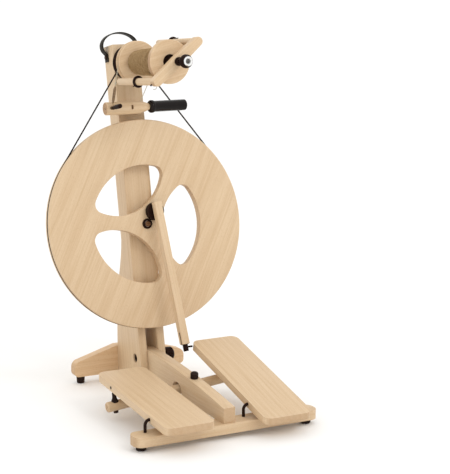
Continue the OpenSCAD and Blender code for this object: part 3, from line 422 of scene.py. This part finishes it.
turned("orifice_lining", on_flyer, lining, 40, "flyer", lining_steel)
dressed(hook_wire, "hook_slider_left", "hook_slider_right")


# Bobbin: a black tube between two turned beech flanges, the back one grooved for the brake.
# Grey-brown two-ply wool is wound on it in close turns, fuller towards the front.
# The flanges' grain runs across them and their end darkening is strong, so their rims darken where they face
# left and right: end grain, and on the left side, turned from the lamp, painted shade as well.
flange_beech = beech("beech_flanges", (0.97, 0.0, 0.24), 17.7, 0.02, 0.85)
eased("flange_back", "bobbin", flange_beech, 0.0010)
eased("flange_front", "bobbin", flange_beech, 0.0012)
dressed(whorl_plastic, "bobbin_tube")


def form_tree(name, inputs):
    """An empty tree with a geometry in and out and the named inputs that set its form."""
    tree = bpy.data.node_groups.new(name, "GeometryNodeTree")
    tree.interface.new_socket("Geometry", in_out="OUTPUT", socket_type="NodeSocketGeometry")
    tree.interface.new_socket("Geometry", in_out="INPUT", socket_type="NodeSocketGeometry")
    for key, kind in inputs.items():
        tree.interface.new_socket(key, in_out="INPUT", socket_type=kind)
    entry = tree.nodes.new("NodeGroupInput")
    return tree, {socket.name: Link(tree, socket) for socket in entry.outputs if socket.name}


def even_path(given):
    """The path that a tree is given, as a curve with its points evenly spaced."""
    path = given["Geometry"].add("GeometryNodeMeshToCurve", {}, {"Mesh": given["Geometry"]})
    return path.add("GeometryNodeResampleCurve", {"mode": "LENGTH"},
                    {"Curve": path, "Length": given["Spacing"]})


def close_tree(given, curve, section):
    """Draws the section along the curve and makes one plain mesh with its finish on it."""
    shape = curve.add("GeometryNodeCurveToMesh", {}, {"Curve": curve, "Profile Curve": section,
                                                      "Fill Caps": True})
    shape = shape.add("GeometryNodeSetShadeSmooth", {}, {"Geometry": shape})
    shape = shape.add("GeometryNodeRealizeInstances", {}, {"Geometry": shape})
    shape = shape.add("GeometryNodeSetMaterial", {}, {"Geometry": shape, "Material": given["Finish"]})
    shape.add("NodeGroupOutput", {}, {0: shape})


def laid_strands():
    """Strands laid round a path: each is a round tube that winds about it, as in yarn, cord and wire."""
    tree, given = form_tree("laid_strands", {
        "Strands": "NodeSocketInt", "Turns": "NodeSocketFloat", "Lay": "NodeSocketFloat",
        "Thickness": "NodeSocketFloat", "Spacing": "NodeSocketFloat", "Sides": "NodeSocketInt",
        "Finish": "NodeSocketMaterial"})
    path = even_path(given)
    path = path.add("GeometryNodeSetCurveNormal", {"mode": "MINIMUM_TWIST"}, {"Curve": path})
    strands = path.add("GeometryNodeDuplicateElements", {"domain": "SPLINE"},
                       {"Geometry": path, "Amount": given["Strands"]})
    which = Link(tree, strands.out.node.outputs["Duplicate Index"])
    done = path.add("GeometryNodeSplineParameter", {}, {}, "Factor")
    angle = (done * given["Turns"] + which / given["Strands"]) * math.tau
    ahead = path.add("GeometryNodeInputTangent")
    outward = path.add("GeometryNodeInputNormal")
    sideways = path.add("ShaderNodeVectorMath", {"operation": "CROSS_PRODUCT"}, {0: ahead, 1: outward})
    lift = path.add("ShaderNodeVectorMath", {"operation": "SCALE"},
                    {0: outward, "Scale": path.math("COSINE", angle) * given["Lay"]})
    drift = path.add("ShaderNodeVectorMath", {"operation": "SCALE"},
                     {0: sideways, "Scale": angle.sine() * given["Lay"]})
    offset = path.add("ShaderNodeVectorMath", {"operation": "ADD"}, {0: lift, 1: drift})
    strands = path.add("GeometryNodeSetPosition", {}, {"Geometry": strands, "Offset": offset})
    reach = path.add("GeometryNodeSplineParameter", {}, {}, "Length")
    strands = path.add("GeometryNodeStoreNamedAttribute", {"data_type": "FLOAT", "domain": "POINT"},
                       {"Geometry": strands, "Name": "along", "Value": reach})
    rim = path.add("GeometryNodeCurvePrimitiveCircle", {}, {"Resolution": given["Sides"],
                                                            "Radius": given["Thickness"]})
    around = path.add("GeometryNodeSplineParameter", {}, {}, "Factor")
    rim = path.add("GeometryNodeStoreNamedAttribute", {"data_type": "FLOAT", "domain": "POINT"},
                   {"Geometry": rim, "Name": "around", "Value": around})
    close_tree(given, strands, rim)
    return tree


def grown(name, points, closed, tree, body, values, nodes=()):
    """Runs a tree along a path of points and keeps the result as one plain mesh on its body."""
    links = [(i, i + 1) for i in range(len(points) - 1)] + ([(len(points) - 1, 0)] if closed else [])
    line = bpy.data.meshes.new(name + "_line")
    line.from_pydata([tuple(q) for q in points], links, [])
    guide = bpy.data.objects.new(name + "_guide", line)
    bpy.context.scene.collection.objects.link(guide)
    form = guide.modifiers.new("form", "NODES")
    form.node_group = tree
    for item in tree.interface.items_tree:
        if item.in_out == "INPUT" and item.name in values:
            form[item.identifier] = values[item.name]
    shaped = bpy.data.meshes.new_from_object(guide.evaluated_get(bpy.context.evaluated_depsgraph_get()))
    bpy.data.objects.remove(guide)
    placed(name, shaped, body, nodes)


strand_tree = laid_strands()


def strung(name, points, body, finish, thickness, spacing, sides, nodes=(),
           strands=1, turns=0.0, lay=0.0, closed=False):
    """A yarn, cord or wire along a path of points; a wire is one strand with no lay."""
    grown(name, points, closed, strand_tree, body,
          {"Strands": strands, "Turns": turns, "Lay": lay, "Thickness": thickness, "Spacing": spacing,
           "Sides": sides, "Finish": finish}, nodes)


def spun(name, pale, dark, rough, fuzz, fibre):
    """Spun fibre: fine hairs run along each strand at a slant, in a patchy, mottled tone between a pale and a
    dark colour.
    """
    finish, thread = new_finish(name)
    along = thread.mark("along")
    around = thread.mark("around")
    place = thread.place()
    hairs = (along * fibre + around * math.tau * 5.0 + place.noise((900.0, 900.0, 900.0), 2.0) * 4.0).sine()
    patch = place.noise((140.0, 140.0, 140.0), 3.0)
    mottle = place.noise((1400.0, 1400.0, 1400.0), 2.0)
    tone = (0.22 + 0.22 * hairs + 0.75 * patch + 0.45 * mottle - 0.35).step(0.0, 1.0)
    tint = tone.colour((*pale, 1.0), (*dark, 1.0))
    close_finish(thread, {"Base Color": tint, "Roughness": rough + 0.1 * mottle, "Sheen Weight": fuzz,
                          "Sheen Roughness": 0.5, "Specular IOR Level": 0.2},
                 hairs * 0.5 + mottle, 0.0003, 0.5)
    return finish


wool = spun("yarn_wool", (0.50, 0.345, 0.182), (0.252, 0.147, 0.054), 0.82, 0.0, 2600.0)
wool_back, wool_front, ply = 0.0315, 0.1460, 0.00112
wool_hollow, wool_turns, turn_steps, wander = 0.0125, 54, 30, 0.0006


def wool_radius(ahead):
    """The wound wool's outside: a long cone to the front, dented where the hooks were moved on."""
    full = (ahead - wool_back) / (wool_front - wool_back)
    step = 0.0005 / (1.0 + math.exp(-(ahead - 0.048) / 0.0008))
    dents = sum(depth * math.exp(-((ahead - at) / 0.0022) ** 2)
                for at, depth in ((0.064, 0.0006), (0.090, 0.0008), (0.113, 0.0028), (0.124, 0.0028)))
    return 0.0207 + 0.0056 * full ** 1.1 + step + 0.0003 * math.sin(11.0 * full) - dents


wool_points = []
for i in range(wool_turns * turn_steps + 1):
    full = i / (wool_turns * turn_steps)
    angle = math.tau * i / turn_steps
    ahead = wool_back + 0.0016 + (wool_front - wool_back - 0.0032) * full
    ahead += wander * math.sin(angle * 0.37 + 1.3) * math.sin(math.pi * full)
    wool_points.append(on_flyer(wool_radius(ahead) - ply, angle, ahead))
strung("wool_winding", wool_points, "bobbin", wool, 0.00061, 0.0016, 5, ("yarn_winding",),
       strands=2, turns=760.0, lay=0.00052)
under = [wool_back + 0.0004 + (wool_front - wool_back - 0.0008) * i / 60 for i in range(61)]
inside = [(wool_hollow, under[0]), *((wool_radius(a) - 1.5 * ply, a) for a in under),
          (wool_hollow, under[-1]), (wool_hollow, under[0])]
turned("wool_under", on_flyer, inside, 48, "bobbin", wool, ("yarn_core",))


# Yarn hook: a bent steel wire set into the lower end of the flyer's crossbar,
# and two black set pins that lock the arms in it.
def on_crossbar(along, aside, ahead):
    """A point given along the flyer's crossbar, square to it and out along the shaft."""
    level = along * math.cos(flyer_turn) - aside * math.sin(flyer_turn)
    height = along * math.sin(flyer_turn) + aside * math.cos(flyer_turn)
    return flyer_foot + Vector((level, 0.0, 0.0)) + flyer_up * height + flyer_run * ahead


hook_bends = ((-0.0495, -0.0050, 0.1760), (-0.0505, -0.0085, 0.1735), (-0.0515, -0.0112, 0.1695),
              (-0.0522, -0.0128, 0.1650), (-0.0526, -0.0130, 0.1615), (-0.0530, -0.0120, 0.1588))
strung("yarn_hook", [on_crossbar(*q) for q in hook_bends], "flyer", screw_steel, 0.0006, 0.0008, 8)
for pin, foot, tip in (("set_pin_upper", (0.0380, -0.0060, 0.1765), (0.0380, -0.0098, 0.1765)),
                       ("set_pin_lower", (-0.0540, 0.0005, 0.1755), (-0.0588, 0.0005, 0.1755))):
    strung(pin, [on_crossbar(*foot), on_crossbar(*tip)], "flyer", blacked, 0.0013, 0.0004, 10)


# Drive band: an endless black cord, spliced, from the wheel's groove up to the whorl's small groove.
# It is laid up from three strands and kept taut by the lean of the head.
band_cord = spun("cord_drive_band", (0.020, 0.010, 0.007), (0.007, 0.004, 0.003), 0.60, 0.0, 1500.0)
wheel_height, band_radius, groove_radius = 0.2305, 0.1775, 0.014
band_slope = math.asin((band_radius - groove_radius) / (flyer_height - wheel_height))


def arc(first, last, steps):
    return [first + (last - first) * i / steps for i in range(steps + 1)]


band_points = [on_mast(band_radius * math.cos(a), groove_out, wheel_height + band_radius * math.sin(a))
               for a in arc(math.pi - band_slope, math.tau + band_slope, 160)]
band_points += [on_flyer(groove_radius, a, 0.0) for a in arc(band_slope, math.pi - band_slope, 24)]
strung("band_laid", band_points, "stand", band_cord, 0.00073, 0.0012, 6, ("drive_band",),
       strands=3, turns=150.0, lay=0.00074, closed=True)


# Bobbin brake: a wound bronze spring looped on the peg, then a natural cotton cord
# that lies over the groove of the back flange and goes into the barrel.
spring_bronze = turned_metal("bronze_brake_spring", (0.27, 0.165, 0.085), 0.34)
brake_cotton = spun("cotton_brake_cord", (0.66, 0.60, 0.46), (0.46, 0.40, 0.29), 0.85, 0.2, 5200.0)
brake_radius, brake_ahead = 0.0335, 0.02475
peg_across, peg_out = -0.053, 0.0682
peg_mid = on_mast(peg_across, peg_out, barrel_height)
spring_low = on_mast(peg_across, peg_out, 0.43485)
anchor = on_mast(0.004, 0.05783, 0.43938)


def touch_angle(point, side):
    """Where a straight cord from the point first touches the groove, left (-1) or right (1)."""
    away = point - flyer_foot
    level, height = away.x, away.dot(flyer_up)
    return math.atan2(height, level) + side * math.acos(brake_radius / math.hypot(level, height))


left_touch = math.tau + touch_angle(spring_low, -1)
right_touch = touch_angle(anchor, 1)
left_point = on_flyer(brake_radius, left_touch, brake_ahead)
spring_run = (left_point - spring_low).normalized()
spring_high = spring_low + spring_run * 0.034
spring_side = spring_run.cross(mast_out).normalized()
spring_face = spring_side.cross(spring_run)
eye_radius, eye_pitch = 0.0034, 0.0006
coils, coil_steps, coil_radius = 24, 14, 0.00215
knot_radius, knot_pitch = 0.0011, 0.0011


def round_spring(turn):
    """A direction square to the spring's run."""
    return spring_side * math.cos(turn) + spring_face * math.sin(turn)


spring_points = [peg_mid + mast_out * eye_pitch * a
                 + eye_radius * (mast_up * math.cos(a) + Vector((1, 0, 0)) * math.sin(a))
                 for a in arc(5.6, 0.4, 22)]
for i in range(coils * coil_steps + 1):
    full = i / (coils * coil_steps)
    swell = coil_radius * min(1.0, 6.0 * full, 6.0 * (1.0 - full)) ** 0.5
    spring_points.append(spring_low + spring_run * (0.0022 + 0.0295 * full)
                         + swell * round_spring(math.tau * i / coil_steps))
spring_points.append(spring_high)
strung("spring_wound", spring_points, "stand", spring_bronze, 0.00043, 0.00085, 7, ("brake_spring",))
cord_points = [spring_high + spring_run * 0.0002, left_point]
cord_points += [on_flyer(brake_radius, a, brake_ahead) for a in arc(left_touch, right_touch, 48)]
cord_points += [anchor + mast_up * 0.0004, anchor - mast_up * 0.004]
strung("brake_cord_laid", cord_points, "stand", brake_cotton, 0.00039, 0.0006, 6, ("brake_cord",),
       strands=2, turns=70.0, lay=0.00040)
knot_points = [spring_high + spring_run * (0.0006 + knot_pitch * a / math.tau) + knot_radius * round_spring(a)
               for a in arc(0.0, 3.2 * math.tau, 52)]
strung("brake_cord_knot", knot_points, "stand", brake_cotton, 0.00036, 0.0006, 6,
       strands=2, turns=7.0, lay=0.00036)


# Carrying strap: a strip of black bridle leather bent over the mast's head.
# Its cut edges are rounded and dyed, and a blacked screw holds each end to the mast's side.
def strip_along():
    """A flat strip with round edges along a path that lies in one plane."""
    tree, given = form_tree("strip_along", {
        "Width": "NodeSocketFloat", "Thickness": "NodeSocketFloat", "Flat": "NodeSocketVector",
        "Spacing": "NodeSocketFloat", "Finish": "NodeSocketMaterial"})
    path = even_path(given)
    path = path.add("GeometryNodeSetCurveNormal", {"mode": "FREE"}, {"Curve": path, "Normal": given["Flat"]})
    edge = path.add("GeometryNodeCurvePrimitiveQuadrilateral", {}, {"Width": given["Width"],
                                                                    "Height": given["Thickness"]})
    edge = path.add("GeometryNodeFilletCurve", {"mode": "POLY"}, {"Curve": edge, "Count": 4,
                                                                  "Radius": given["Thickness"] * 0.45})
    close_tree(given, path, edge)
    return tree


def hide(name):
    """Dyed leather: a pebbled grain with fine creases, dull in the hollows and waxed on top."""
    finish, skin = new_finish(name)
    place = skin.place()
    pebbles = skin.add("ShaderNodeTexVoronoi", {"feature": "SMOOTH_F1"}, {"Vector": place, "Scale": 1300.0})
    creases = place.noise((240.0, 900.0, 240.0), 4.0)
    tint = (creases * 0.6).colour((0.009, 0.006, 0.003, 1.0), (0.024, 0.018, 0.009, 1.0))
    close_finish(skin, {"Base Color": tint, "Roughness": 0.40 + 0.25 * creases, "Specular IOR Level": 0.12},
                 pebbles + 0.5 * creases, 0.00012, 0.45)
    return finish


strap_half, strap_foot, strap_straight, strap_behind = 0.0251, 0.514, 0.012, -0.004
bow_half, bow_foot, bow_rise = 0.033, 0.541, 0.023
strap_line = [(strap_half, strap_foot), (strap_half, strap_foot + strap_straight)]
strap_line += [(bow_half * math.cos(a), bow_foot + bow_rise * math.sin(a))
               for a in arc(math.radians(-22), math.radians(202), 48)]
strap_line += [(-strap_half, strap_foot + strap_straight), (-strap_half, strap_foot)]
strap_points = [on_mast(x, strap_behind, up) for x, up in strap_line]
grown("strap_leather", strap_points, False, strip_along(), "stand",
      {"Width": 0.014, "Thickness": 0.0020, "Flat": mast_out, "Spacing": 0.0016,
       "Finish": hide("leather_strap")}, ("strap",))
dressed(blacked, "strap_screws")


# The room: a pale floor, an even white sky and one large soft lamp from the upper right.
# The camera stands to the left of the wheel's front and looks a little down on it.
floor_finish, paint = new_finish("pale_floor")
floor_cloud = paint.place().noise((3.0, 3.0, 3.0), 2.0)
floor_tint = (floor_cloud * 0.4).colour((0.93, 0.93, 0.925, 1.0), (0.91, 0.91, 0.905, 1.0))
close_finish(paint, {"Base Color": floor_tint, "Roughness": 0.9})
floor_half = 60.0
floor_mesh = bpy.data.meshes.new("floor")
floor_mesh.from_pydata([(-floor_half, -floor_half, 0), (floor_half, -floor_half, 0),
                        (floor_half, floor_half, 0), (-floor_half, floor_half, 0)], [], [(0, 1, 2, 3)])
floor_mesh.materials.append(floor_finish)
floor = bpy.data.objects.new("floor", floor_mesh)
bpy.context.scene.collection.objects.link(floor)

sky = bpy.data.worlds.new("white_sky")
sky.use_nodes = True
sky.node_tree.nodes["Background"].inputs["Color"].default_value = (1.0, 0.995, 0.985, 1.0)
sky.node_tree.nodes["Background"].inputs["Strength"].default_value = 1.14
bpy.context.scene.world = sky
bpy.context.scene.view_settings.view_transform = "Standard"

lamp_place, lamp_aim = Vector((0.9, -2.3, 2.3)), Vector((0.0, 0.0, 0.3))
key_light = bpy.data.lights.new("key_lamp", "AREA")
key_light.shape, key_light.size, key_light.energy = "DISK", 0.9, 14.0
key_lamp = bpy.data.objects.new("key_lamp", key_light)
key_lamp.location = lamp_place
key_lamp.rotation_euler = (lamp_aim - lamp_place).to_track_quat("-Z", "Y").to_euler()
bpy.context.scene.collection.objects.link(key_lamp)

picture_wide, picture_high, focal = 450, 474, 1500.0
middle_x, middle_y = 222.0, 237.3
camera_drop, camera_turn = 11.09, -27.43
camera = bpy.data.cameras.new("camera")
camera.sensor_width = 36.0
camera.lens = 36.0 * focal / picture_high
camera.shift_x = (picture_wide / 2 - middle_x) / picture_high
camera.shift_y = (middle_y - picture_high / 2) / picture_high
camera.clip_end = 200.0
eye = bpy.data.objects.new("camera", camera)
eye.location = (-1.04735, bolt.y - 2.29841, 0.76305)
eye.rotation_euler = (math.radians(90 - camera_drop), 0.0, math.radians(camera_turn))
bpy.context.scene.collection.objects.link(eye)
bpy.context.scene.camera = eye
